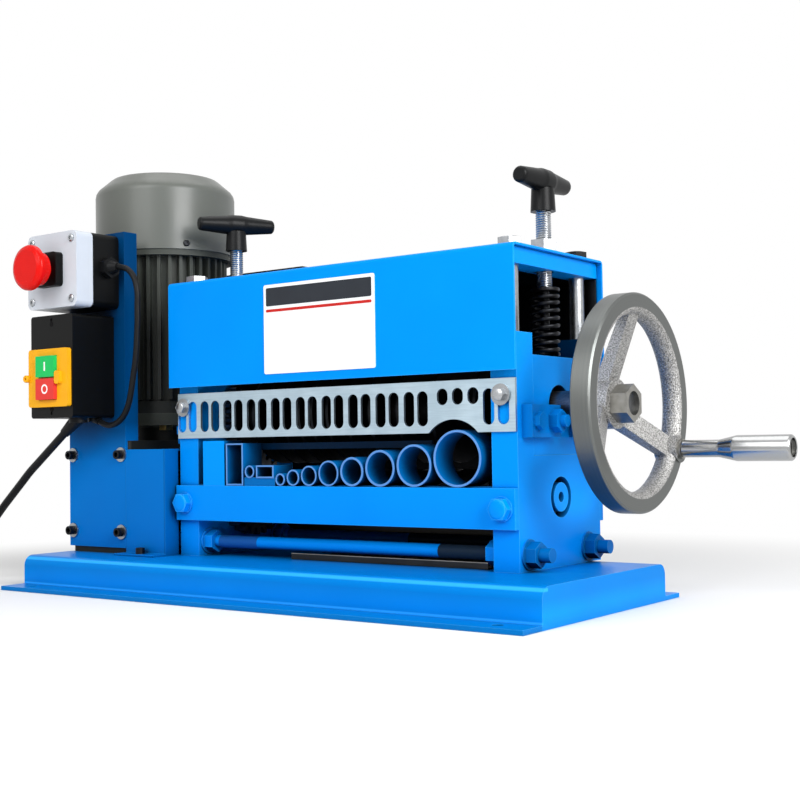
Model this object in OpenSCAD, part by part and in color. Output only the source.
// Bench-top electric wire stripper: a vertical motor and worm gearbox turn a feed roller,
// a geared knife shaft above it slits the insulation, and a row of feed tubes guides the wire.
// X runs along the rollers, Y from front to back, Z up. The origin is the middle of the underside.

/* [Base] */
// Length of the base
base_l = 600; // [590:2:660]
// Depth of the raised pan
base_d = 210; // [206:2:240]
// Height of the pan
base_h = 32; // [28:1:45]
// Thickness of the bent base plate
base_t = 4; // [3:0.5:5]
// Width of the front and back flanges
flange_w = 28; // [24:1:40]
// Outside radius of the pan's top bends
bend_r = 10; // [6:1:14]
// Diameter of the bench bolt holes
bench_hole_d = 9; // [6.5:0.5:11]
// Distance of the bench bolt holes from each end
bench_hole_end = 30; // [20:1:60]

/* [Head frame] */
// Distance over the outside of the two cheeks
head_w = 390; // [384:1:396]
// Distance from the middle of the gearbox to the left cheek
head_x = 102; // [100:0.5:106]
// Y of the front face of the cheeks
head_y = -28; // [-32:0.5:-25]
// Thickness of a cheek
cheek_t = 25; // [24:0.5:27]
// Depth of a cheek
cheek_d = 140; // [138:1:144]
// Height of the cheek posts above the base
cheek_h = 197; // [194:1:204]
// Width of the slot between the posts
slot_w = 88; // [84:1:90]
// Height of the slot floor above the base
slot_floor = 95; // [93:0.5:98]
// Height of the sliding bearing block
block_h = 84; // [80:1:88]
// Height of the plated columns
column_h = 56; // [52:1:62]
// Diameter of the plated columns
column_d = 14; // [13:0.5:16]
// Thickness of the crosshead bars
cross_t = 14; // [12:1:18]
// Height of the cross beams
beam_h = 34; // [30:1:36]
// Thickness of the cross beams
beam_t = 6; // [5:0.5:8]
// Height of the top of the cross beams above the base
beam_top = 69; // [66:1:70]
// Diameter of the tie rods
tie_rod_d = 12; // [10:0.5:13]
// Height of the tie rods above the base
tie_h = 14; // [12:0.5:18]
// Distance of the tie rods from the front and back of the cheeks
tie_inset = 15; // [13:0.5:20]

/* [Hood and guard] */
// Sheet thickness of the hood
hood_t = 2; // [1.5:0.25:3]
// Depth of the hood's front and back faces
hood_h = 104; // [98:1:108]
// Gap between the cheeks' front and the hood
hood_front = 8; // [7:0.5:10]
// Gap between the cheeks' back and the hood
hood_rear = 3; // [2:0.5:6]
// How far the hood stands past each cheek
hood_side = 5; // [3:0.5:7]
// Thickness of the slotted guard plate
guard_t = 2.5; // [2:0.5:5]
// Height of the guard plate
guard_h = 44; // [42:1:46]
// Height of the guard plate's lower edge above the base
guard_floor = 115; // [114:0.5:117]
// Width of a guard slot
slot_d = 11; // [9:0.5:11.5]
// Length of a long guard slot
slot_l = 30; // [28:1:31]
// Distance between neighbouring pairs of slots
slot_pitch = 30.8; // [30:0.1:31]
// Distance between the two slots of a pair
slot_gap = 14.3; // [13.8:0.1:15]
// Number of slot pairs left of the largest tube
slot_pairs = 10; // [8:1:10]
// Radius of the guard's arch above the middle of the largest tube
arch_r = 33; // [33:0.5:38]
// Width of the blank plate on the hood
label_w = 130; // [100:1:160]
// Height of the blank plate on the hood
label_h = 83; // [60:1:88]

/* [Feed tubes] */
// Length of a feed tube
tube_l = 27; // [24:0.5:27]
// Outside diameters of the round tubes from right to left
tube_d = [48, 36.5, 32, 26, 23, 18.5, 15, 11.5]; // [11:0.5:48]
// Wall of the four large tubes
wall_large = 2; // [1.75:0.25:3.5]
// Wall of the small tubes
wall_small = 1.5; // [1.25:0.25:2.25]
// Gap between neighbouring tubes
tube_gap = 2.4; // [1:0.1:3]
// Gap between the largest tube and the right cheek
tube_end_gap = 7.5; // [5:0.5:10]
// Width of the flat cable tube
flat_w = 22; // [18:1:24]
// Height of the flat cable tube
flat_h = 12; // [10:0.5:14]
// Diameter of the small tube on the step
step_tube_d = 12; // [11:0.5:13]
// Height of the step under the flat tube
step_h = 7; // [5:0.5:8]
// Width of the tall tube
tall_w = 22; // [18:1:24]
// Height of the tall tube
tall_h = 40; // [30:1:44]
// Width of the end block
end_block_w = 28; // [24:1:30]

/* [Shafts and gears] */
// Height of the feed roller axis above the base
roller_h = 59; // [58:0.5:61]
// Diameter of the feed roller
roller_d = 48; // [44:1:50]
// Diameter of the shafts at the bearings
shaft_d = 25; // [22:0.5:28]
// Outside diameter of the ball bearings
bearing_d = 52; // [50:1:56]
// Width of the ball bearings
bearing_w = 15; // [12:0.5:16]
// Diameter of the hole around each shaft end
end_hole_d = 35; // [33:0.5:38]
// Diameter of the slitting knives
knife_d = 96; // [90:1:97]
// Thickness of a slitting knife
knife_t = 3; // [2:0.25:4]
// Diameter of the spacers between knives
spacer_d = 40; // [36:1:44]
// Module of the pair of gears between roller and knives
gear_m = 3; // [3:0.05:3.1]
// Teeth of each gear of that pair
gear_teeth = 26; // [26:1:26]
// Width of those gears
gear_w = 14; // [10:1:16]
// Module of the drive gears
drive_m = 2; // [2:0.02:2.1]
// Teeth of each drive gear
drive_teeth = 21; // [20:1:21]
// Width of the drive gears
drive_w = 20; // [14:1:24]

/* [Handwheel] */
// Outside diameter of the handwheel
wheel_d = 182; // [170:1:190]
// Radial thickness of the rim
rim_t = 18; // [14:1:20]
// Width of the rim
rim_w = 18; // [15:1:20]
// Distance from the right cheek to the back of the rim
wheel_gap = 59; // [56:1:66]
// How far the hub lies behind the back of the rim
wheel_dish = 32; // [28:1:34]
// Diameter of the hub
hub_d = 42; // [38:1:48]
// Length of the hub
hub_l = 28; // [24:1:30]
// Diameter of the shaft in the hub
wheel_shaft_d = 20; // [16:0.5:22]
// Radius of the crank handle's circle
crank_r = 82; // [80:0.5:84]
// Angle of the crank handle below the horizontal
crank_angle = 28; // [0:1:90]
// Length of the crank grip
grip_l = 96; // [80:1:120]
// Diameter of the grip at the wheel
grip_d1 = 15; // [14:0.5:18]
// Diameter of the grip at its free end
grip_d2 = 22; // [20:0.5:24]
// Diameter of the pin inside the grip
crank_pin_d = 10; // [8:0.5:11]

/* [Clamp screws] */
// Thread diameter of the clamp screws
screw_d = 14; // [10:0.5:15]
// Clear height of the screw between nut and handle
screw_free = 24; // [22:0.5:34]
// Length of the T-handle
t_l = 80; // [70:1:82]
// Diameter of the T-handle's arms at the middle
t_d = 21; // [19:0.5:25]
// Diameter of the T-handle's arms at their ends
t_end_d = 14; // [12:0.5:17]
// Height of the T-handle's neck
t_neck_h = 20; // [20:1:28]
// Outside diameter of the springs
spring_d = 26; // [24:0.5:34]
// Wire diameter of the springs
wire_d = 4; // [3:0.25:4.5]
// Number of curls of each spring
curls = 7.5; // [5:0.5:8]
// Thickness of the spring caps
cap_t = 3; // [2:0.25:4]
// Gap between the spring caps and the crossheads
cap_gap = 14; // [12:1:16]

/* [Motor and gearbox] */
// Width of the gearbox
box_w = 86; // [84:1:90]
// X of the middle of the gearbox
box_x = -257; // [-259:0.5:-256]
// Height of the gearbox
box_h = 114; // [112:1:118]
// Wall of the gearbox
box_wall = 8; // [6:0.5:9]
// Distance between worm and worm wheel axes
worm_cd = 54; // [53:0.5:56]
// Diameter of the motor and gearbox flanges
flange_d = 124; // [118:1:128]
// Thickness of each of these flanges
flange_t = 12.5; // [10:0.5:14]
// Height of the gearbox neck
neck_h = 16; // [14:1:20]
// Height of the finned motor body
motor_h = 159; // [145:1:160]
// Diameter of the motor over its fins
motor_d = 132; // [128:1:136]
// Number of cooling fins
fins = 36; // [24:2:40]
// Diameter of the fan cowl
cowl_d = 150; // [147:1:154]
// Straight height of the fan cowl
cowl_h = 68; // [66:1:80]
// Height of the cowl's sloping top
cowl_top_h = 16; // [12:1:20]
// Sheet thickness of the fan cowl
cowl_t = 1.6; // [1.25:0.1:2.5]

/* [Switch gear] */
// Thickness of the bracket plate
bracket_t = 3; // [2.5:0.25:4]
// Height of the top of the bracket above the base
bracket_h = 326; // [324:1:340]
// Width and height of the stop box
stop_box = 75; // [70:1:78]
// Depth of the stop box's black base
stop_base_d = 33.5; // [30:0.5:40]
// Depth of the stop box's pale cover
stop_cover_d = 20.5; // [18:0.5:24]
// Diameter of the mushroom head
mushroom_d = 45; // [38:1:46]
// Width of the switch box
switch_w = 64; // [60:1:66]
// Height of the switch box
switch_h = 103; // [100:1:105]
// Depth of the switch box
switch_d = 53; // [48:1:58]
// Travel of the push buttons
button_travel = 3; // [2:0.25:4]
// Diameter of the mains cord
cord_d = 8; // [8:0.1:8.2]
// Diameter of the control lead
lead_d = 6; // [5:0.25:6.5]

/* [Hidden] */
$fn = 48;
fit_clear = 0.05;
slide_clear = 0.1;
eps = 1;

// Levels and places that the pieces share
x_l = box_x + head_x;
x_r = x_l + head_w;
head_mid = (x_l + x_r) / 2;
xi_l = x_l + cheek_t;
xi_r = x_r - cheek_t;
gear_x = xi_l + 1;
drum_gap = 3;
drum_x = gear_x + gear_w + drum_gap;
shaft_y = head_y + cheek_d / 2;
back_y = head_y + cheek_d;
shaft_pitch = gear_m * gear_teeth;
z_roller = base_h + roller_h;
z_knife = z_roller + shaft_pitch;
z_slot = base_h + slot_floor;
z_post = base_h + cheek_h;
z_block = z_slot + block_h;
z_cross = z_post + column_h;
z_hood = z_cross + cross_t + hood_t;
z_beam = base_h + beam_top;
z_tie = base_h + tie_h;
z_guard = base_h + guard_floor;
post_w = (cheek_d - slot_w) / 2;
post_y = [head_y + post_w / 2, back_y - post_w / 2];
tie_y = [head_y + tie_inset, back_y - tie_inset - 9];
cheek_x = [x_l + cheek_t / 2, x_r - cheek_t / 2];

// Standard hexagon sizes for a thread diameter
function hex_af(d) = d < 7 ? 10 : d < 9 ? 13 : d < 11 ? 17 : d < 13 ? 19 : 22;
function hex_head(d) = 0.64 * d;
function nut_h(d) = 0.83 * d;

module xcyl(d, l) { rotate([0, 90, 0]) cylinder(d = d, h = l); }
module ycyl(d, l) { rotate([-90, 0, 0]) cylinder(d = d, h = l); }
module hexagon(af, h) { cylinder(d = af / cos(30), h = h, $fn = 6); }

// A rectangle with rounded corners, centred
module round_rect(w, h, r) {
    square([w - 2 * r, h], center = true);
    square([w, h - 2 * r], center = true);
    for (x = [-1, 1], y = [-1, 1])
        translate([x * (w / 2 - r), y * (h / 2 - r)]) circle(r = r);
}

// A plate in the XZ plane, centred on X and Z, from Y = 0 towards +Y
module xz_plate(w, h, r, t) {
    rotate([90, 0, 0]) translate([0, 0, -t]) linear_extrude(t) round_rect(w, h, r);
}

// A hexagon bolt with its seat at Z = 0 and its shank towards -Z
module hex_bolt(d, l) {
    hexagon(hex_af(d), hex_head(d));
    translate([0, 0, -l]) cylinder(d = d, h = l + eps / 2);
}

// A washer under a bolt head, its upper face at Z = 0
washer_t = 1.6;
module washer(d, share = 2.1) {
    translate([0, 0, -washer_t])
        difference() {
            cylinder(d = share * d, h = washer_t);
            translate([0, 0, -eps]) cylinder(d = d + 2 * fit_clear, h = washer_t + 2 * eps);
        }
}

// A socket cap screw with its seat at Z = 0 and its shank towards -Z
module cap_screw(d, l) {
    difference() {
        cylinder(d = 1.5 * d, h = d);
        translate([0, 0, d / 2]) hexagon(0.8 * d, d);
    }
    translate([0, 0, -l]) cylinder(d = d, h = l + d / 4);
}

module hex_nut(d) {
    difference() {
        hexagon(hex_af(d), nut_h(d));
        translate([0, 0, -eps]) cylinder(d = d + 2 * fit_clear, h = nut_h(d) + 2 * eps);
    }
}

// Involute spur gear in the YZ plane, from X = 0, with a tooth towards +Y
pressure_angle = 20;
backlash = 0.3;
function involute_turn(t) = t - atan(t * PI / 180);
function flank(rb, half, ra, side) =
    let (t_tip = sqrt(pow(ra / rb, 2) - 1) * 180 / PI)
    [for (i = [0 : 4])
        let (t = t_tip * (side < 0 ? i : 4 - i) / 4,
             r = rb * sqrt(1 + pow(t * PI / 180, 2)),
             a = side * (half - involute_turn(t)))
        [r, a]];
function gear_outline(m, n) =
    let (rp = m * n / 2,
         rb = rp * cos(pressure_angle),
         rf = rp - 1.25 * m,
         half = 90 / n + tan(pressure_angle) * 180 / PI - pressure_angle - backlash / rp * 45 / PI)
    [for (k = [0 : n - 1])
        for (q = concat([[rf, -half]], flank(rb, half, rp + m, -1), flank(rb, half, rp + m, 1), [[rf, half]]))
            q[0] * [cos(q[1] + k * 360 / n), sin(q[1] + k * 360 / n)]];
module spur_gear(m, n, w, bore, turn) {
    rotate([90, 0, 90])
        linear_extrude(w)
            rotate(turn)
                difference() {
                    polygon(gear_outline(m, n));
                    circle(d = bore);
                }
}

// A closed tube along points, with flat ends
function unit(v) = v / norm(v);
function tangents(p) =
    [for (i = [0 : len(p) - 1]) unit(p[min(i + 1, len(p) - 1)] - p[max(i - 1, 0)])];
function normals(t, n0, i = 0) =
    let (n = unit(n0 - (n0 * t[i]) * t[i]))
    i == len(t) - 1 ? [n] : concat([n], normals(t, n, i + 1));
module tube(p, d, sides, up) {
    t = tangents(p);
    n = normals(t, up);
    rings = len(p);
    points = [for (i = [0 : rings - 1], s = [0 : sides - 1])
        let (a = 360 * s / sides, b = cross(t[i], n[i]))
        p[i] + d / 2 * (cos(a) * n[i] + sin(a) * b)];
    walls = [for (i = [0 : rings - 2], s = [0 : sides - 1])
        let (a = i * sides + s, b = i * sides + (s + 1) % sides)
        each [[a, a + sides, b], [b, a + sides, b + sides]]];
    caps = [for (s = [1 : sides - 2])
        each [[0, s, s + 1],
              [(rings - 1) * sides, (rings - 1) * sides + s + 1, (rings - 1) * sides + s]]];
    polyhedron(points = points, faces = concat(walls, caps));
}
// Least gap between stretches of one tube that lie more than skip points apart
function self_gap(p, d, skip) =
    min([for (i = [0 : len(p) - skip - 1], j = [i + skip : len(p) - 1]) norm(p[i] - p[j])]) - d;

// Base: a bent pan with flanges and closed ends
flange_mid = base_d / 2 + flange_w / 2;
module pan_outline(inset) {
    w = base_d - 2 * inset;
    r = bend_r - inset;
    translate([-w / 2, -eps]) square([w, base_h - bend_r + eps]);
    translate([-w / 2 + r, 0]) square([w - 2 * r, base_h - inset]);
    for (s = [-1, 1])
        translate([s * (w / 2 - r), base_h - bend_r]) circle(r = r);
}
module x_extrude(l) { rotate([90, 0, 90]) linear_extrude(l) children(); }
module base() {
    color("#0A84E6")
    difference() {
        union() {
            intersection() {
                translate([-base_l / 2, 0, 0]) x_extrude(base_l) pan_outline(0);
                translate([-base_l, -base_d, 0]) cube([2 * base_l, 2 * base_d, 2 * base_h]);
            }
            for (s = [-1, 1])
                translate([-base_l / 2, s * flange_mid - flange_w / 2, 0]) cube([base_l, flange_w, base_t]);
        }
        translate([base_t - base_l / 2, 0, 0]) x_extrude(base_l - 2 * base_t) pan_outline(base_t);
        for (x = [-1, 1], y = [-1, 1])
            translate([x * (base_l / 2 - bench_hole_end), y * flange_mid, -eps])
                cylinder(d = bench_hole_d, h = base_t + 2 * eps);
        foot_bolts() cylinder(d = foot_d + 2 * fit_clear, h = 4 * base_h, center = true);
    }
}

// Bolts from under the base into the cheeks and the gearbox
foot_d = 10;
foot_depth = 18;
foot_y = [shaft_y - 26, shaft_y + 26];
module foot_bolts() {
    for (x = cheek_x, y = foot_y) translate([x, y, 0]) children();
    for (x = [-1, 1], y = [box_front + foot_inset, box_back - foot_inset])
        translate([box_x + x * (box_w / 2 - foot_inset), y, 0]) children();
}

// Cheeks, with the slot for the sliding block
module bearing_seat(x0, inside, z) {
    translate([x0 - eps, shaft_y, z]) xcyl(end_hole_d, cheek_t + 2 * eps);
    translate([inside > 0 ? x0 + cheek_t - bearing_w : x0 - eps, shaft_y, z]) xcyl(bearing_d, bearing_w + eps);
}
module cheek(x0, inside, guard_x) {
    mid = x0 + cheek_t / 2;
    difference() {
        translate([x0, head_y, base_h]) cube([cheek_t, cheek_d, cheek_h]);
        translate([x0 - eps, shaft_y - slot_w / 2, z_slot]) cube([cheek_t + 2 * eps, slot_w, cheek_h]);
        bearing_seat(x0, inside, z_roller);
        for (y = tie_y) translate([x0 - eps, y, z_tie]) xcyl(tie_rod_d + 2 * fit_clear, cheek_t + 2 * eps);
        for (y = [head_y - eps, back_y - beam_bolt_l + beam_t])
            translate([mid, y, z_beam - beam_h / 2]) ycyl(beam_bolt_d + 2 * fit_clear, beam_bolt_l - beam_t + eps);
        translate([guard_x, head_y - eps, guard_bolt_z]) ycyl(guard_bolt_d + 2 * fit_clear, guard_bolt_in + eps);
        for (y = post_y)
            translate([mid, y, z_post - column_bolt_in])
                cylinder(d = column_bolt_d + 2 * fit_clear, h = column_bolt_in + eps);
        for (y = foot_y)
            translate([mid, y, base_h - eps]) cylinder(d = foot_d + 2 * fit_clear, h = foot_depth + eps);
        for (s = [-1, 1])
            translate([inside > 0 ? x0 - eps : x0 + cheek_t - keeper_bolt_in, keeper_bolt_y(s), keeper_z + keeper_h / 2])
                xcyl(keeper_bolt_d + 2 * fit_clear, keeper_bolt_in + eps);
    }
}
module left_cheek() { color("#0096FF") cheek(x_l, 1, guard_bolt_x[0]); }
module right_cheek() { color("#0096FF") cheek(xi_r, -1, guard_bolt_x[1]); }

// Front and back beams with their bolts
beam_bolt_d = 10;
beam_bolt_l = 24;
module cross_beams() {
    color("#0096FF")
    for (y = [head_y - beam_t, back_y])
        difference() {
            translate([x_l, y, z_beam - beam_h]) cube([head_w, beam_t, beam_h]);
            for (x = cheek_x)
                translate([x, y - eps, z_beam - beam_h / 2]) ycyl(beam_bolt_d + 2 * fit_clear, beam_t + 2 * eps);
        }
}
module beam_bolts() {
    color("#0096FF")
    for (x = cheek_x, s = [-1, 1])
        translate([x, s < 0 ? head_y - beam_t - washer_t : back_y + beam_t + washer_t, z_beam - beam_h / 2])
            rotate([-s * 90, 0, 0]) {
                hex_bolt(beam_bolt_d, beam_bolt_l);
                washer(beam_bolt_d);
            }
}

// Tie rods with a nut on each side of each cheek
tie_end = [17, 22];
module tie_rods() {
    color("#0A84E6")
    for (y = tie_y)
        translate([0, y, z_tie]) {
            translate([x_l - tie_end[0], 0, 0]) xcyl(tie_rod_d, head_w + tie_end[0] + tie_end[1]);
            for (x = [x_l, xi_l, xi_r, x_r], s = x == x_l || x == xi_r ? -90 : 90)
                translate([x, 0, 0]) rotate([0, s, 0]) translate([0, 0, washer_t]) {
                    hex_nut(tie_rod_d);
                    washer(tie_rod_d);
                }
        }
}

// Columns, crossheads and the bolts that hold them and the hood
column_bolt_d = 11;
column_bolt_in = 20;
hood_r = 4;
cross_out = min(hood_front, hood_rear) - 0.5;
cross_edge = hood_r - hood_t + 0.5;
module crossheads() {
    half = cheek_d / 2 + cross_out;
    color("#00A0FF")
    for (x = cheek_x)
        difference() {
            translate([x - cheek_t / 2, shaft_y, z_cross]) rotate([90, 0, 90]) linear_extrude(cheek_t)
                polygon([[-half, 0], [half, 0], [half, cross_t - cross_edge], [half - cross_edge, cross_t],
                         [cross_edge - half, cross_t], [-half, cross_t - cross_edge]]);
            for (y = post_y)
                translate([x, y, z_cross - eps])
                    cylinder(d = column_bolt_d + 2 * fit_clear, h = cross_t + 2 * eps);
            translate([x, shaft_y, z_cross - eps]) cylinder(d = screw_d + 2 * eps, h = cross_t + 2 * eps);
        }
}
module head_bolts() {
    color("silver") {
        for (x = cheek_x, y = post_y) {
            translate([x, y, z_hood]) hex_bolt(column_bolt_d, z_hood - z_post + column_bolt_in);
            translate([x, y, z_post])
                difference() {
                    cylinder(d = column_d, h = column_h);
                    translate([0, 0, -eps])
                        cylinder(d = column_bolt_d + 2 * fit_clear, h = column_h + 2 * eps);
                }
        }
        for (x = cheek_x) translate([x, shaft_y, z_hood]) hex_nut(screw_d);
        for (x = guard_bolt_x)
            translate([x, head_y - guard_t - 2 * slide_clear - washer_t, guard_bolt_z])
                rotate([90, 0, 0]) {
                    hex_bolt(guard_bolt_d, guard_t + guard_bolt_in);
                    washer(guard_bolt_d, guard_washer);
                }
        foot_bolts()
            translate([0, 0, base_h - base_t])
                rotate([180, 0, 0]) hex_bolt(foot_d, base_t + foot_depth);
        bracket_washers();
    }
}

// Hood over the head, open at both ends
hood_y0 = head_y - hood_front - hood_t;
hood_y1 = back_y + hood_rear + hood_t;
module hood() {
    color("#0098FF")
    difference() {
        translate([x_l - hood_side, (hood_y0 + hood_y1) / 2, z_hood - hood_h])
            x_extrude(head_w + 2 * hood_side)
                difference() {
                    round_rect(hood_y1 - hood_y0, 2 * hood_h, hood_r);
                    round_rect(hood_y1 - hood_y0 - 2 * hood_t, 2 * (hood_h - hood_t), hood_r - hood_t);
                    translate([-base_d, -2 * hood_h]) square([2 * base_d, 2 * hood_h]);
                }
        for (x = cheek_x) {
            for (y = post_y)
                translate([x, y, z_hood - hood_t - eps])
                    cylinder(d = column_bolt_d + 2 * fit_clear, h = hood_t + 2 * eps);
            translate([x, shaft_y, z_hood - hood_t - eps])
                cylinder(d = screw_d + 2 * eps, h = hood_t + 2 * eps);
        }
    }
}

// Blank plate on the hood's front
label_t = 0.8;
label_left = 6.5;
label_down = 2.5;
module hood_plate() {
    color("white")
    translate([head_mid - label_left, hood_y0 - label_t, z_hood - hood_h / 2 - label_down])
        xz_plate(label_w, label_h, 2, label_t);
}

// Guard plate: sliding upwards on its two bolts
guard_bolt_d = 6.5;
guard_washer = 2.75;
guard_bolt_side = (slot_d - guard_bolt_d) / 2 - 0.25;
arch_left = 5;
guard_bolt_in = 12;
slot_foot = 6;
slot_first = 13.1;
slot_last = 18.6;
slot_short = 14;
short_gap = 15.5;
guard_bolt_z = z_guard + slot_foot + slot_l - slot_d / 2;
guard_bolt_x = [x_l + slot_first - slot_gap / 2 + guard_bolt_side, x_r - slot_last + slot_gap / 2 - guard_bolt_side];
module upright_slot(x, z, l) {
    translate([x, z]) {
        square([slot_d, l - slot_d], center = true);
        for (s = [-1, 1]) translate([0, s * (l - slot_d) / 2]) circle(d = slot_d);
    }
}
module guard_plate() {
    long_z = z_guard + slot_foot + slot_l / 2;
    color("#C8D2E0")
    translate([0, head_y - slide_clear, 0]) rotate([90, 0, 0]) linear_extrude(guard_t)
        difference() {
            translate([x_l, z_guard]) square([head_w, guard_h]);
            for (k = [0 : slot_pairs - 1], s = [-1, 1])
                upright_slot(x_l + slot_first + k * slot_pitch + s * slot_gap / 2, long_z, slot_l);
            for (s = [-1, 1]) upright_slot(x_r - slot_last + s * slot_gap / 2, long_z, slot_l);
            for (s = [-1, 0, 1]) upright_slot(tube_x(0) + s * short_gap, guard_bolt_z, slot_short);
            translate([tube_x(0) - arch_left, tube_z(0) + tube_d[0] / 2]) circle(r = arch_r);
        }
}

// Feed tubes in a row from the right cheek leftwards, on a shelf behind the front beam
row_w = concat(tube_d, [flat_w, step_tube_d, tall_w, end_block_w]);
flat_i = len(tube_d);
step_i = flat_i + 1;
tall_i = flat_i + 2;
block_i = flat_i + 3;
tube_y = head_y - 5;
tube_seat = 0.3;
shelf_t = 6;
shelf_rise = 1;
hold_t = 3;
hold_h = 6;
hold_z = 34;
hold_y = tube_y + tube_l + 0.5;
end_block_h = 43;
function row_right(i) = xi_r - tube_end_gap - (i == 0 ? 0 : row_sum(i - 1));
function row_sum(i) = row_w[i] + tube_gap + (i == 0 ? 0 : row_sum(i - 1));
function tube_x(i) = row_right(i) - row_w[i] / 2;
function tube_z(i) = z_beam + tube_seat + (i == flat_i || i == step_i ? step_h : 0);
function tube_wall(i) = i < 4 ? wall_large : wall_small;
module round_tube(i, d) {
    translate([tube_x(i), tube_y, tube_z(i) + row_w[i] / 2]) ycyl(d, tube_l);
}
module square_tube(i, h, wall) {
    translate([row_right(i) - row_w[i] + wall, tube_y - (wall > 0 ? eps : 0), tube_z(i) + wall])
        cube([row_w[i] - 2 * wall, tube_l + (wall > 0 ? 2 * eps : 0), h - 2 * wall]);
}
// The tubes that find room beside the gears
row_i = [for (i = [0 : tall_i]) if (tube_x(i) - knife_t > drum_x) i];
round_i = [for (i = row_i) if (i < flat_i || i == step_i) i];
square_i = [for (i = row_i) if (i == flat_i || i == tall_i) i];
function box_tube_h(i) = i == flat_i ? flat_h : tall_h;
module round_feed_tubes() {
    color("#0A84E6")
    for (i = round_i)
        difference() {
            round_tube(i, row_w[i]);
            translate([tube_x(i), tube_y - eps, tube_z(i) + row_w[i] / 2])
                ycyl(row_w[i] - 2 * tube_wall(i), tube_l + 2 * eps);
        }
}
module square_feed_tubes() {
    color("#0A84E6")
    for (i = square_i)
        difference() {
            square_tube(i, box_tube_h(i), 0);
            square_tube(i, box_tube_h(i), wall_small);
        }
}
module tube_rack() {
    step_x = row_right(step_i) - row_w[step_i] - tube_gap / 2;
    block_x = row_right(block_i) - end_block_w;
    color("#0A84E6")
    difference() {
        union() {
            translate([xi_l, head_y, z_beam - shelf_t])
                cube([xi_r - xi_l, hold_y + hold_t - head_y, shelf_t + shelf_rise]);
            translate([step_x, tube_y + 1, z_beam])
                cube([row_right(flat_i) + tube_gap / 2 - step_x, tube_l - 1, step_h + shelf_rise]);
            if (block_x > xi_l)
                translate([block_x, tube_y, z_beam]) cube([end_block_w, tube_l, end_block_h]);
            translate([xi_l, hold_y, z_beam + hold_z]) cube([tube_x(1) - xi_l, hold_t, hold_h]);
        }
        for (i = round_i) round_tube(i, row_w[i] + 2 * fit_clear);
        for (i = square_i) square_tube(i, box_tube_h(i), 0);
    }
}

// Chip tray on the base between the cheeks, and the shield behind the knives
tray_t = 1.2;
tray_lip = 6;
tray_wall = 64;
tray_left = 62;
tray_right = 14;
tray_front = 13;
tray_back = 8;
module chip_tray() {
    x0 = head_mid - tray_left;
    w = xi_r - tray_right - x0;
    y0 = head_y + tray_front;
    y1 = back_y - tray_back;
    color("#3A3C40") {
        translate([x0, y0, base_h]) cube([w, tray_t, tray_lip]);
        translate([x0, y0, base_h]) cube([w, y1 - y0, tray_t]);
        translate([xi_l, y1 - tray_t, base_h]) cube([xi_r - xi_l, tray_t, tray_wall]);
    }
}
shield_t = 2;
shield_gap = 12;
module rear_shield() {
    z0 = z_beam + shield_gap;
    color("#26282C")
    translate([x_l, back_y, z0]) cube([head_w, shield_t, z_cross - 1 - z0]);
}

// Sliding bearing blocks and the keeper bars beside them
block_clear = 0.3;
module bearing_block(x0, inside) {
    difference() {
        translate([x0 + slide_clear, shaft_y - slot_w / 2 + block_clear, z_slot])
            cube([cheek_t - 2 * slide_clear, slot_w - 2 * block_clear, block_h]);
        bearing_seat(x0, inside, z_knife);
    }
}
module bearing_blocks() {
    color("#0A84E6") {
        bearing_block(x_l, 1);
        bearing_block(xi_r, -1);
    }
}
keeper_t = 10;
keeper_h = 27;
keeper_l = 47;
keeper_z = z_slot + 15;
keeper_bolt_d = 8;
keeper_bolt_in = 15;
set_screw_d = 10;
set_screw_out = 5;
function keeper_bolt_y(s) = shaft_y + s * (slot_w / 2 + 9.5);
module block_keepers() {
    color("#0A84E6")
    for (side = [-1, 1], s = [-1, 1]) {
        face = side < 0 ? x_l : x_r;
        set_y = shaft_y + s * (slot_w / 2 - 16);
        z = keeper_z + keeper_h / 2;
        difference() {
            translate([face + (side - 1) * keeper_t / 2, shaft_y + s * (cheek_d / 2 - 7 - keeper_l / 2) - keeper_l / 2, keeper_z])
                cube([keeper_t, keeper_l, keeper_h]);
            translate([face - keeper_t - eps, keeper_bolt_y(s), z])
                xcyl(keeper_bolt_d + 2 * fit_clear, 2 * keeper_t + 2 * eps);
            translate([face - keeper_t - eps, set_y, z])
                xcyl(set_screw_d + 2 * fit_clear, 2 * keeper_t + 2 * eps);
        }
        translate([face + side * keeper_t, keeper_bolt_y(s), z])
            rotate([0, side * 90, 0]) hex_bolt(keeper_bolt_d, keeper_t + keeper_bolt_in - eps);
        translate([face + side * keeper_t, set_y, z]) rotate([0, side * 90, 0]) {
            hex_nut(set_screw_d);
            translate([0, 0, -keeper_t]) cylinder(d = set_screw_d, h = keeper_t + nut_h(set_screw_d) + set_screw_out);
        }
    }
}

// Ball bearings: rings with a shallow recess between the races
module ball_bearing(x0, z) {
    ri = shaft_d / 2 + fit_clear;
    ro = bearing_d / 2;
    race = (ro - ri) / 3.5;
    translate([x0, shaft_y, z]) rotate([0, 90, 0]) rotate_extrude()
        polygon([[ri, 0], [ri + race, 0], [ri + race, 1], [ro - race, 1], [ro - race, 0], [ro, 0],
                 [ro, bearing_w], [ro - race, bearing_w], [ro - race, bearing_w - 1],
                 [ri + race, bearing_w - 1], [ri + race, bearing_w], [ri, bearing_w]]);
}
module roller_bearings() {
    color("silver") for (x = [xi_l - bearing_w, xi_r]) ball_bearing(x, z_roller);
}
module knife_bearings() {
    color("silver") for (x = [xi_l - bearing_w, xi_r]) ball_bearing(x, z_knife);
}

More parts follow.
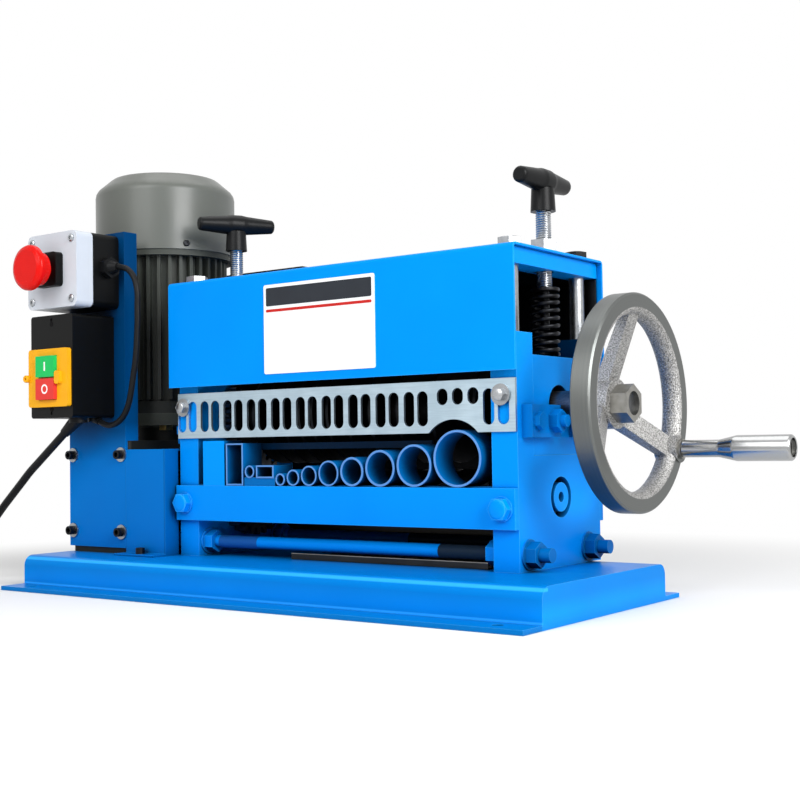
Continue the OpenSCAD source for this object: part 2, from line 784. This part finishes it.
// Feed roller with its two gears
drive_reach = 40;
drive_x = x_l - drive_reach;
output_y = shaft_y - drive_m * drive_teeth;
shaft_bore = shaft_d + 2 * fit_clear;
centre_d = 9;
centre_l = 12;
module feed_roller() {
    drum_l = xi_r - drum_gap - drum_x;
    color("#9CA0A6")
    difference() {
        union() {
            translate([drive_x - 4, shaft_y, z_roller]) xcyl(shaft_d, x_r - drive_x + 4);
            translate([drum_x, shaft_y, z_roller]) xcyl(roller_d, drum_l);
        }
        for (i = row_i)
            translate([tube_x(i) - knife_t, shaft_y, z_roller])
                difference() {
                    xcyl(roller_d + 2, 2 * knife_t);
                    translate([-eps, 0, 0]) xcyl(roller_d - 4, 2 * knife_t + 2 * eps);
                }
        translate([x_r - centre_l, shaft_y, z_roller]) xcyl(centre_d, centre_l + eps);
    }
}
module roller_gears() {
    color("#7E8288") {
        translate([gear_x, shaft_y, z_roller]) spur_gear(gear_m, gear_teeth, gear_w, shaft_bore, 90);
        translate([drive_x, shaft_y, z_roller])
            spur_gear(drive_m, drive_teeth, drive_w, shaft_bore, 180 + 180 / drive_teeth);
    }
}

// Knife shaft, its knives and spacers, and the gear that meets the roller's gear
wheel_x = x_r + wheel_gap;
hub_x = wheel_x - wheel_dish;
wheel_nut_h = 15;
wheel_nut_af = 28;
shaft_sunk = 4;
module knife_shaft() {
    color("#9CA0A6")
    translate([0, shaft_y, z_knife]) {
        translate([x_l + 3, 0, 0]) xcyl(shaft_d, hub_x - x_l - 3);
        translate([hub_x - eps, 0, 0]) xcyl(wheel_shaft_d, eps + hub_l + wheel_nut_h - shaft_sunk);
    }
}
module knife_ring(d, x0, x1) {
    translate([x0, shaft_y, z_knife])
        difference() {
            xcyl(d, x1 - x0);
            translate([-eps, 0, 0]) xcyl(shaft_bore, x1 - x0 + 2 * eps);
        }
}
module knife_stack() {
    color("#B0B4BA") {
        for (i = row_i) knife_ring(knife_d, tube_x(i) - knife_t / 2, tube_x(i) + knife_t / 2);
        for (i = [0 : len(row_i)])
            knife_ring(spacer_d,
                i == len(row_i) ? gear_x + gear_w + fit_clear : tube_x(i) + knife_t / 2 + fit_clear,
                i == 0 ? xi_r - 2 : tube_x(i - 1) - knife_t / 2 - fit_clear);
    }
}
module knife_gear() {
    color("#7E8288")
    translate([gear_x, shaft_y, z_knife])
        spur_gear(gear_m, gear_teeth, gear_w, shaft_bore, 270 + 180 / gear_teeth);
}

// Handwheel on the knife shaft
spoke_w = 18;
spoke_t = 9;
spoke_hub_t = 13;
spoke_back = 4;
boss_d = 24;
boss_out = 1;
collar_l = 3;
rim_edge = 1.5;
rim_bulge = 6;
crank_y = shaft_y + crank_r * cos(crank_angle);
crank_z = z_knife - crank_r * sin(crank_angle);
grip_x = wheel_x + rim_w + boss_out + collar_l;
grip_neck = 32;
grip_flare = 16;
grip_edge = 1.5;
grip_sunk = 8;
grip_sunk_d = 16;
grip_play = 0.3;
pin_head_d = 14;
pin_head_t = 3;
module handwheel() {
    r = wheel_d / 2;
    ri = r - rim_t;
    hub_face = hub_x + hub_l - spoke_back;
    rim_face = wheel_x + rim_w - spoke_back;
    color("#8C9096")
    difference() {
        union() {
            translate([wheel_x, shaft_y, z_knife]) rotate([0, 90, 0]) rotate_extrude($fn = 96)
                polygon(concat(
                    [[r - rim_edge, 0], [r, rim_edge], [r, rim_w - rim_edge], [r - rim_edge, rim_w]],
                    [for (a = [90 : -18 : -90])
                        [ri + rim_bulge * (1 - cos(a)), rim_w / 2 + (rim_w / 2) * sin(a)]]));
            translate([hub_x, shaft_y, z_knife]) xcyl(hub_d, hub_l);
            for (a = [90, 210, 330])
                translate([0, shaft_y, z_knife]) rotate([a, 0, 0]) rotate([0, 0, 90])
                    linear_extrude(spoke_w, center = true)
                        polygon([[hub_d / 2 - 4, spoke_hub_t - hub_face], [hub_d / 2 - 4, -hub_face],
                                 [ri + 4, -rim_face], [ri + 4, spoke_t - rim_face]]);
            translate([wheel_x - 1, crank_y, crank_z]) xcyl(boss_d, rim_w + boss_out + 1);
        }
        translate([hub_x - eps, shaft_y, z_knife]) xcyl(wheel_shaft_d + 2 * fit_clear, hub_l + 2 * eps);
        translate([wheel_x - 2 * eps, crank_y, crank_z])
            xcyl(crank_pin_d + 2 * fit_clear, rim_w + boss_out + 3 * eps);
    }
}
module handwheel_fittings() {
    color("silver") {
        translate([hub_x + hub_l, shaft_y, z_knife]) rotate([0, 90, 0])
            difference() {
                hexagon(wheel_nut_af, wheel_nut_h);
                translate([0, 0, -eps]) cylinder(d = wheel_shaft_d + 2 * fit_clear, h = wheel_nut_h + 2 * eps);
            }
        translate([wheel_x - 1, crank_y, crank_z]) xcyl(crank_pin_d, grip_x + grip_l - grip_sunk - wheel_x + 2);
        translate([grip_x - collar_l, crank_y, crank_z]) xcyl(grip_d1 + 2, collar_l - grip_play);
        translate([grip_x + grip_l - grip_sunk + grip_play, crank_y, crank_z]) xcyl(pin_head_d, pin_head_t);
    }
}
module crank_grip() {
    color("#D8DADC")
    translate([grip_x, crank_y, crank_z])
        rotate([0, 90, 0]) rotate_extrude()
            polygon([[crank_pin_d / 2 + fit_clear, 0], [grip_d1 / 2, 0], [grip_d1 / 2, grip_neck],
                     [grip_d2 / 2, grip_neck + grip_flare], [grip_d2 / 2, grip_l - grip_edge],
                     [grip_d2 / 2 - grip_edge, grip_l], [grip_sunk_d / 2, grip_l],
                     [grip_sunk_d / 2, grip_l - grip_sunk], [crank_pin_d / 2 + fit_clear, grip_l - grip_sunk]]);
}

// Clamp screws with T-handles, spring caps and springs
tip_d = 8;
tip_l = 36;
screw_in = 14;
t_round = 2;
t_turn = [-30, 0];
handle_rise = [4, 1];
z_cap = z_cross - cap_gap - cap_t;
z_handle = z_hood + nut_h(screw_d) + screw_free;
module clamp_screw(i) {
    color("silver")
    translate([cheek_x[i], shaft_y, 0]) {
        translate([0, 0, z_cap + cap_t]) cylinder(d = screw_d, h = z_handle + handle_rise[i] + screw_in - z_cap - cap_t);
        translate([0, 0, z_cap + cap_t - tip_l]) cylinder(d = tip_d, h = tip_l + eps);
    }
}
module t_handle(i) {
    re = t_end_d / 2;
    color("#2A2C30")
    translate([cheek_x[i], shaft_y, z_handle + handle_rise[i]])
        difference() {
            union() {
                cylinder(d1 = t_d + 1, d2 = t_d - 1, h = t_neck_h);
                translate([0, 0, t_neck_h + t_d / 3]) rotate([90, 0, t_turn[i]]) rotate_extrude()
                    polygon([[0, -t_l / 2], [re - t_round, -t_l / 2], [re - 1, t_round / 3 - t_l / 2],
                             [re, t_round - t_l / 2], [t_d / 2 - 1, -t_d / 2], [t_d / 2, -t_d / 4],
                             [t_d / 2, t_d / 4], [t_d / 2 - 1, t_d / 2], [re, t_l / 2 - t_round],
                             [re - 1, t_l / 2 - t_round / 3], [re - t_round, t_l / 2], [0, t_l / 2]]);
            }
            translate([0, 0, -eps]) cylinder(d = screw_d + 2 * fit_clear, h = screw_in + eps);
        }
}
module spring_cap(i) {
    color("silver")
    translate([cheek_x[i], shaft_y, z_cap])
        difference() {
            cylinder(d = spring_d, h = cap_t);
            translate([0, 0, -eps]) cylinder(d = tip_d + 2 * fit_clear, h = cap_t + 2 * eps);
        }
}
spring_r = (spring_d - wire_d) / 2;
spring_z0 = z_block + wire_d / 2 + 0.3;
spring_z1 = z_cap - wire_d / 2 - 0.3;
function curl_at(f) =
    [spring_r * cos(360 * curls * f), spring_r * sin(360 * curls * f), spring_z0 + (spring_z1 - spring_z0) * f];
spring_steps = round(8 * curls);
spring_mid = [for (k = [0 : spring_steps]) curl_at(k / spring_steps)];
spring_p = concat(
    [spring_mid[0] - [0, wire_d, 0]],
    spring_mid,
    [spring_mid[spring_steps] + [0, wire_d * cos(360 * curls), 0]]);
echo(spring_gap = self_gap(spring_p, wire_d, 6));
module spring(i) {
    color("#1C1D20") translate([cheek_x[i], shaft_y, 0]) tube(spring_p, wire_d, 6, [0, 0, 1]);
}
module left_spring() { spring(0); }
module right_spring() { spring(1); }
module left_spring_cap() { spring_cap(0); }
module right_spring_cap() { spring_cap(1); }
module left_clamp_screw() { clamp_screw(0); }
module right_clamp_screw() { clamp_screw(1); }
module left_t_handle() { t_handle(0); }
module right_t_handle() { t_handle(1); }

// Worm gearbox with the motor standing on it
box_front = output_y - 44;
motor_y = output_y + worm_cd;
box_back = motor_y + 34;
box_mid = (box_front + box_back) / 2;
box_depth = box_back - box_front;
foot_inset = 15;
motor_left = 3;
neck_d = 84;
rotor_d = 84;
output_d = 25;
motor_shaft_d = 19;
motor_bolt_d = 8;
motor_bolt_r = 52;
z_box = base_h + box_h;
z_neck = z_box + neck_h;
z_joint = z_neck + flange_t;
z_body = z_joint + flange_t;
z_cowl = z_body + motor_h;
z_top = z_cowl + cowl_h + cowl_top_h;
worm_gap = 0.6;
wheel_m = 2.2;
wheel_teeth = 30;
worm_wheel_w = 24;
worm_d = 2 * (worm_cd - worm_gap - wheel_m * (wheel_teeth / 2 + 1));
motor_x = box_x - motor_left;
module on_motor(z) { translate([motor_x, motor_y, z]) children(); }
module flange_bolts() {
    for (a = [45 : 90 : 315]) rotate(a) translate([motor_bolt_r, 0, 0]) children();
}
module gearbox_housing() {
    cavity = box_w - 2 * box_wall;
    color("#6E716C")
    difference() {
        union() {
            translate([box_x, box_mid, base_h]) linear_extrude(box_h) round_rect(box_w, box_depth, 6);
            on_motor(z_box - eps) cylinder(d = neck_d, h = neck_h + 2 * eps);
            on_motor(z_neck) cylinder(d = flange_d, h = flange_t);
        }
        translate([box_x - cavity / 2, box_front + box_wall, base_h + box_wall])
            cube([cavity, box_depth - 2 * box_wall, box_h - 2 * box_wall]);
        translate([box_x - box_w / 2 + 3, output_y, z_roller]) xcyl(output_d + 2 * fit_clear, box_w + eps);
        on_motor(z_box - box_wall - eps) cylinder(d = motor_shaft_d + 8, h = 2 * box_h);
        on_motor(z_neck - eps) flange_bolts() cylinder(d = motor_bolt_d + 2 * fit_clear, h = 2 * flange_t);
        for (x = bracket_x, z = bracket_z)
            translate([x, box_front - eps, z]) ycyl(bracket_screw_d + 2 * fit_clear, bracket_screw_in + eps);
        foot_bolts() translate([0, 0, base_h - eps]) cylinder(d = foot_d + 2 * fit_clear, h = foot_depth + 2 * eps);
    }
}
module motor_housing() {
    core_d = motor_d - 18;
    fin_h = motor_h - 8;
    color("#6E716C")
    difference() {
        union() {
            on_motor(z_joint) cylinder(d = flange_d, h = flange_t);
            on_motor(z_body - eps) cylinder(d = core_d, h = motor_h + eps);
            on_motor(z_body + 2) linear_extrude(fin_h)
                for (a = [0 : 360 / fins : 359])
                    rotate(a) translate([core_d / 2 - 2, -1.6]) square([(motor_d - core_d) / 2 + 2, 3.2]);
            on_motor(z_cowl - 6) cylinder(d = cowl_d - 2 * cowl_t, h = 14);
            on_motor(z_body + 68) translate([-24, core_d / 2 - 8, 0]) cube([72, pad_y - motor_y - core_d / 2 + 8, 70]);
        }
        on_motor(z_body + 8) cylinder(d = core_d - 16, h = motor_h - 22);
        on_motor(z_joint - eps) cylinder(d = motor_shaft_d + 2 * fit_clear, h = 2 * motor_h);
        on_motor(z_joint - eps) flange_bolts() cylinder(d = motor_bolt_d + 2 * fit_clear, h = flange_t - 1);
    }
}
module motor_bolts() {
    color("#C9A227")
    on_motor(z_neck) flange_bolts() rotate([180, 0, 0]) hex_bolt(motor_bolt_d, 2 * flange_t - 3);
}
module motor_rotor() {
    fan_z = z_cowl + 18;
    worm_z = z_roller - 26;
    color("#9CA0A6")
    difference() {
        union() {
            on_motor(worm_z - 14) cylinder(d = motor_shaft_d, h = fan_z + 24 - worm_z + 14);
            on_motor(worm_z) cylinder(d = worm_d, h = 52);
            on_motor(z_body + 20) cylinder(d = rotor_d, h = motor_h - 46);
            on_motor(fan_z) cylinder(d = 36, h = 22);
            on_motor(fan_z) cylinder(d = cowl_d - 30, h = 2);
            on_motor(fan_z)
                for (a = [0 : 45 : 315]) rotate(a) translate([14, -1, 0]) cube([(cowl_d - 34) / 2 - 14, 2, 22]);
        }
        on_motor(worm_z) for (k = [0 : 6]) translate([0, 0, 3 + 6.9 * k])
            difference() {
                cylinder(d = worm_d + 2, h = 3.4);
                translate([0, 0, -eps]) cylinder(d = worm_d - 8, h = 3.4 + 2 * eps);
            }
    }
}
cowl_top_d = 114;
module fan_cowl() {
    r = cowl_d / 2;
    rt = cowl_top_d / 2;
    zs = cowl_h;
    zt = cowl_h + cowl_top_h;
    color("#5F625E")
    difference() {
        on_motor(z_cowl)
            rotate_extrude($fn = 72)
                polygon([[r - cowl_t, 0], [r, 0], [r, zs - 5], [r - 0.8, zs - 1], [r - 3, zs + 2.6],
                         [rt + 3, zt - 3], [rt, zt - 0.8], [rt - 5, zt], [0, zt], [0, zt - cowl_t],
                         [rt - 5, zt - cowl_t], [r - cowl_t - 3, zs], [r - cowl_t, zs - 5]]);
        on_motor(z_cowl + zt - cowl_t - eps)
            for (a = [0 : 22.5 : 338]) rotate(a) translate([16, -2.5, 0]) cube([32, 5, cowl_t + 2 * eps]);
    }
}
pad_y = motor_y + motor_d / 2 + 4;
term_right = 70;
term_up = 106;
term_w = 150;
term_h = 84;
term_d = 46;
module terminal_box() {
    color("#6E716C")
    translate([motor_x + term_right, pad_y, z_body + term_up])
        difference() {
            union() {
                xz_plate(term_w - 6, term_h - 6, 6, term_d - 12);
                translate([0, term_d - 12 - eps, 0]) xz_plate(term_w, term_h, 8, 12 + eps);
            }
            translate([0, 4, 0]) xz_plate(term_w - 14, term_h - 14, 3, term_d - 8);
        }
}

// Output shaft: worm wheel inside the gearbox and pinion outside it
module output_shaft() {
    color("#9CA0A6")
    translate([0, output_y, z_roller]) {
        translate([box_x - box_w / 2 + 4, 0, 0]) xcyl(output_d, drive_x + drive_w + 4 - box_x + box_w / 2 - 4);
        translate([motor_x - worm_wheel_w / 2, 0, 0]) spur_gear(wheel_m, wheel_teeth, worm_wheel_w, output_d - 1, 0);
        translate([drive_x, 0, 0]) spur_gear(drive_m, drive_teeth, drive_w, output_d - 1, 0);
    }
}

// Sheet guard over the drive gears
drive_top = 105;
drive_sheet = 2;
drive_foot = 16;
drive_front = 47;
drive_rear = 34;
drive_screw_d = 6;
box_right = box_x + box_w / 2;
module drive_guard() {
    y0 = output_y - drive_front;
    y1 = shaft_y + drive_rear;
    color("#0096FF")
    difference() {
        union() {
            translate([box_right, 0, base_h]) x_extrude(x_l - 2 - box_right) {
                translate([y0, 0]) square([drive_sheet, drive_top]);
                translate([y1 - drive_sheet, 0]) square([drive_sheet, drive_top]);
                translate([y0, drive_top - drive_sheet]) square([y1 - y0, drive_sheet]);
                translate([y0 - drive_foot, 0]) square([drive_foot + 1, drive_sheet]);
            }
            translate([x_l - 2 - drive_sheet, y0, base_h]) cube([drive_sheet, head_y - 1 - y0, drive_top]);
        }
        drive_screw() cylinder(d = drive_screw_d + 2 * fit_clear, h = 4 * drive_sheet, center = true);
    }
}
module drive_screw() {
    translate([(box_right + x_l) / 2, output_y - drive_front - drive_foot / 2, base_h + drive_sheet]) children();
}

// Switch bracket on the gearbox's front
bracket_y = box_front - bracket_t;
bracket_x = [box_x - 37, box_x + 37];
bracket_z = [base_h + 22, base_h + 100];
bracket_screw_d = 6;
bracket_screw_in = 8;
z_bracket = base_h + bracket_h;
module switch_bracket() {
    color("#0096FF")
    difference() {
        union() {
            translate([box_x - box_w / 2, bracket_y, base_h + 6]) cube([box_w, bracket_t, bracket_h - 6]);
            translate([box_right - bracket_t, bracket_y, base_h + drive_top + 2])
                cube([bracket_t, 17, bracket_h - drive_top - 2]);
        }
        for (x = bracket_x, z = bracket_z)
            translate([x, bracket_y - eps, z]) ycyl(bracket_screw_d + 2 * fit_clear, bracket_t + 2 * eps);
        translate([box_right - bracket_t - eps, box_front, base_h]) cube([bracket_t + 2 * eps, 20, box_h]);
    }
}
module bracket_washers() {
    for (x = bracket_x, z = bracket_z)
        translate([x, bracket_y - washer_t, z]) rotate([90, 0, 0]) washer(bracket_screw_d + 1);
}
module bracket_screws() {
    color("#1A1A1C") {
        for (x = bracket_x, z = bracket_z)
            translate([x, bracket_y - washer_t, z])
                rotate([90, 0, 0]) cap_screw(bracket_screw_d, washer_t + bracket_t + bracket_screw_in - eps);
        drive_screw() cap_screw(drive_screw_d, drive_sheet);
    }
}

// Emergency stop in its box
stop_x = box_x - 2.5;
stop_z = z_bracket - 3.5 - stop_box / 2;
stop_y1 = bracket_y - stop_base_d;
stop_y2 = stop_y1 - stop_cover_d;
stop_wall = 3;
collar_w = 34;
collar_t = 9;
stem_d = 20;
stop_travel = 5;
head_gap = stop_travel + 0.5;
head_t = 18;
module estop_base() {
    color("#1E1F22") {
        translate([stop_x, stop_y1, stop_z])
            difference() {
                xz_plate(stop_box, stop_box, 6, stop_base_d);
                translate([0, -eps, 0])
                    xz_plate(stop_box - 2 * stop_wall, stop_box - 2 * stop_wall, 3, stop_base_d - stop_wall + eps);
            }
        translate([stop_x, stop_y2 - collar_t, stop_z])
            difference() {
                xz_plate(collar_w, collar_w, 4, collar_t);
                translate([0, -eps, 0]) ycyl(stem_d + 2 * slide_clear, collar_t + 2 * eps);
            }
    }
}
module estop_cover() {
    color("#E4E6EA")
    translate([stop_x, stop_y2, stop_z])
        difference() {
            xz_plate(stop_box, stop_box, 6, stop_cover_d);
            translate([0, stop_wall, 0])
                xz_plate(stop_box - 2 * stop_wall, stop_box - 2 * stop_wall, 3, stop_cover_d);
            translate([0, -eps, 0]) ycyl(stem_d + 2, stop_wall + 2 * eps);
        }
}
module estop_plunger() {
    color("#B01812")
    translate([stop_x, stop_y2 - collar_t - head_gap - 6, stop_z]) ycyl(stem_d, collar_t + head_gap + 6 + stop_cover_d - 4);
}
module estop_head() {
    r = mushroom_d / 2;
    color("#E8201A")
    translate([stop_x, stop_y2 - collar_t - head_gap, stop_z])
        rotate([90, 0, 0])
            difference() {
                rotate_extrude()
                    polygon([[0, 0], [r - 6, 0], [r - 5.5, 7], [r, 11], [r, head_t - 4], [r - 1.5, head_t - 1.5], [r - 5, head_t], [0, head_t]]);
                translate([0, 0, -eps]) cylinder(d = stem_d + 2 * fit_clear, h = 6.3 + eps);
            }
}

// Switch box with its frame and two push buttons
switch_x = box_x - 5;
switch_z = stop_z - stop_box / 2 - 7 - switch_h;
switch_y = bracket_y - switch_d;
switch_wall = 3;
frame_w = 60;
frame_h = 58;
frame_t = 5;
frame_z = switch_z + 40;
button_w = 28;
button_h = 21;
button_gap = 1.6;
button_out = 4;
button_in = 8;
button_clear = 0.3;
function button_z(s) = frame_z + s * (button_h + button_gap) / 2;
module switch_box() {
    color("#202124")
    translate([switch_x, switch_y, switch_z + switch_h / 2])
        difference() {
            xz_plate(switch_w, switch_h, 3, switch_d);
            translate([0, switch_wall, 0])
                xz_plate(switch_w - 2 * switch_wall, switch_h - 2 * switch_wall, 1, switch_d - 2 * switch_wall);
            translate([0, -eps, frame_z - switch_z - switch_h / 2])
                xz_plate(button_w + 1, 2 * button_h + button_gap + 1, 0.4, switch_wall + 2 * eps);
            for (s = [-1, 1]) translate([0, -eps, s * (switch_h / 2 - 5)]) ycyl(4, 2);
        }
}
module switch_frame() {
    color("#F2B41E")
    translate([switch_x, switch_y - frame_t, frame_z])
        difference() {
            xz_plate(frame_w, frame_h, 3, frame_t);
            for (s = [-1, 1])
                translate([0, -eps, button_z(s) - frame_z])
                    xz_plate(button_w + 2 * button_clear, button_h + 2 * button_clear, 0.4, frame_t + 2 * eps);
        }
}
module push_button(s) {
    translate([switch_x, switch_y - frame_t - button_out, button_z(s)])
        xz_plate(button_w, button_h, 1, frame_t + button_out + button_in);
}
module start_button() { color("#1EC864") push_button(1); }
module stop_button() { color("#E03A34") push_button(-1); }

// Glands and sleeves where the cords leave the boxes
mains_at = [switch_x + 16, bracket_y - 33, switch_z];
lead_at = [switch_x + 19, bracket_y - 15, switch_z];
gland_at = [stop_x + stop_box / 2, bracket_y - 15, stop_z + 3];
term_at = [motor_x + term_right + term_w / 2 - 3, pad_y + 16, z_body + term_up + 12];
sleeve_d = 14;
module sleeve(from, to, d1, d2, ring_d, ring_h) {
    v = to - from;
    aim = [0, acos(v[2] / norm(v)), atan2(v[1], v[0])];
    difference() {
        union() {
            translate(from) rotate(aim) {
                cylinder(d1 = d1, d2 = d2, h = norm(v));
                translate([0, 0, -d1]) cylinder(d = d1, h = d1 + eps / 4);
            }
            translate(from - [0, 0, ring_h]) cylinder(d = ring_d, h = ring_h + eps);
        }
        translate(from + [-ring_d, -ring_d, 0]) cube(2 * ring_d);
    }
}
module cable_glands() {
    color("#17181A") {
        sleeve(mains_at, mains_p[0], sleeve_d, cord_d + 2, 18, 5);
        sleeve(lead_at, lead_tip, 10, lead_d + 1.5, 13, 4);
        translate(gland_at) {
            rotate([0, 90, 0]) hexagon(19, 7);
            translate([7 - eps / 2, 0, 0]) rotate([0, 90, 0]) cylinder(d1 = 15, d2 = lead_d + 2, h = 9 + eps / 2);
        }
        translate(term_at) {
            rotate([0, 90, 0]) hexagon(22, 14);
            translate([14 - eps / 2, 0, 0]) rotate([0, 90, 0]) cylinder(d1 = 20, d2 = 16, h = 14 + eps / 2);
        }
    }
}

// Control lead between the two boxes: offsets along X and Z from the stop box's gland
lead_route = [
    [16.6, 0], [30, -4], [40, -14], [44, -28], [44, -42], [44, -56], [43, -70], [42, -84],
    [40, -98], [37, -111], [34, -125], [30, -138], [24, -148], [17, -154], [9, -157.5], [1, -158.5],
    [-6, -157]];
lead_tip = lead_at + [8, 0, -3.5];
lead_gap = 0.4;
lead_end = [lead_tip[0] - gland_at[0] + lead_gap, lead_tip[2] - gland_at[2] - lead_gap];
lead_p = [for (q = concat(lead_route, [lead_end])) gland_at + [q[0], 0, q[1]]];
module control_lead() { color("#141416") tube(lead_p, lead_d, 8, [0, 1, 0]); }

// Mains cord: offsets along X and Y from the switch box, height in percent of the drop
mains_route = [
    [-21, 0, 91], [-35, 0, 85], [-49, 0, 79], [-63, 0, 73], [-77, 0, 67], [-91, 0, 60], [-105, 0, 53],
    [-119, 0, 46], [-132, 0, 39], [-144, 0, 32], [-156, 0, 25], [-168, 0, 18], [-181, 0, 11.5],
    [-195, 0, 6], [-211, 0, 2], [-228, 0, 0], [-246, 0, 0]];
tie_t = 0.8;
tie_clear = 0.3;
coil_z = cord_d / 2 + tie_t + tie_clear + 0.1;
mains_p = [for (q = mains_route)
    [mains_at[0] + q[0], mains_at[1] + q[1], coil_z + (mains_at[2] - coil_z) * q[2] / 100]];
module mains_cord() { color("#141416") tube(mains_p, cord_d, 8, [0, 1, 0]); }

// Spare cord in a tied coil: it winds inwards on the surface and outwards on top
coil_turns = 5.5;
coil_step = 8.8;
coil_layer = 8.6;
coil_min = 32.8;
coil_max = coil_min + coil_step * coil_turns / 2;
coil_tail = 30;
coil_start = mains_p[len(mains_p) - 1];
coil_at = coil_start - [cord_d, coil_max, 0];
coil_half = 180 * coil_turns;
function coil_r(t) = coil_min + coil_step * abs(t - coil_half) / 360;
function climb(t) = let (f = max(0, min(1, (t - coil_half) / 180 + 0.5))) f * f * (3 - 2 * f);
coil_mid = [for (k = [0 : 24 * coil_turns])
    let (t = 15 * k)
    coil_at + [coil_r(t) * cos(90 + t), coil_r(t) * sin(90 + t), coil_layer * climb(t)]];
coil_last = coil_mid[len(coil_mid) - 1];
coil_p = concat([coil_start], coil_mid, [for (x = [cord_d, coil_tail]) coil_last + [x, 0, 0]]);
echo(coil_gap = self_gap(coil_p, cord_d, 12));
module cord_coil() { color("#141416") tube(coil_p, cord_d, 6, [0, 0, 1]); }
module cord_tie() {
    near = coil_min + coil_step / 2 - cord_d / 2 - tie_clear;
    far = coil_r(90) + cord_d / 2 + tie_clear;
    high = coil_layer + cord_d + 2 * tie_clear;
    color("#E8E8E4")
    translate([coil_at[0] - far, coil_at[1] - 3, coil_z - cord_d / 2 - tie_clear])
        difference() {
            translate([-tie_t, 0, -tie_t]) cube([far - near + 2 * tie_t, 6, high + 2 * tie_t]);
            translate([0, -eps, 0]) cube([far - near, 6 + 2 * eps, high]);
        }
}

// Mains plug at the end of the coil
plug_at = coil_last + [coil_tail, 0, 0];
plug_h = 2 * plug_at[2] - 0.4;
plug_l = 38;
relief_l = 22;
module plug() {
    color("#17181A")
    translate(plug_at) {
        rotate([0, 90, 0]) cylinder(d1 = cord_d + 2, d2 = 16, h = relief_l);
        translate([relief_l - eps, 0, 0]) x_extrude(plug_l + eps) round_rect(32, plug_h, 8);
        for (s = [-1, 1]) translate([relief_l + plug_l - eps, s * 9.5, 0]) xcyl(4.8, 19 + eps);
    }
}

base();
left_cheek();
right_cheek();
cross_beams();
beam_bolts();
tie_rods();
crossheads();
head_bolts();
hood();
hood_plate();
guard_plate();
round_feed_tubes();
square_feed_tubes();
tube_rack();
chip_tray();
rear_shield();
bearing_blocks();
block_keepers();
roller_bearings();
knife_bearings();
feed_roller();
roller_gears();
knife_shaft();
knife_stack();
knife_gear();
handwheel();
handwheel_fittings();
crank_grip();
left_spring();
right_spring();
left_spring_cap();
right_spring_cap();
left_clamp_screw();
right_clamp_screw();
left_t_handle();
right_t_handle();
gearbox_housing();
motor_housing();
motor_bolts();
motor_rotor();
fan_cowl();
terminal_box();
output_shaft();
drive_guard();
switch_bracket();
bracket_screws();
estop_base();
estop_cover();
estop_plunger();
estop_head();
switch_box();
switch_frame();
start_button();
stop_button();
cable_glands();
control_lead();
mains_cord();
cord_coil();
cord_tie();
plug();
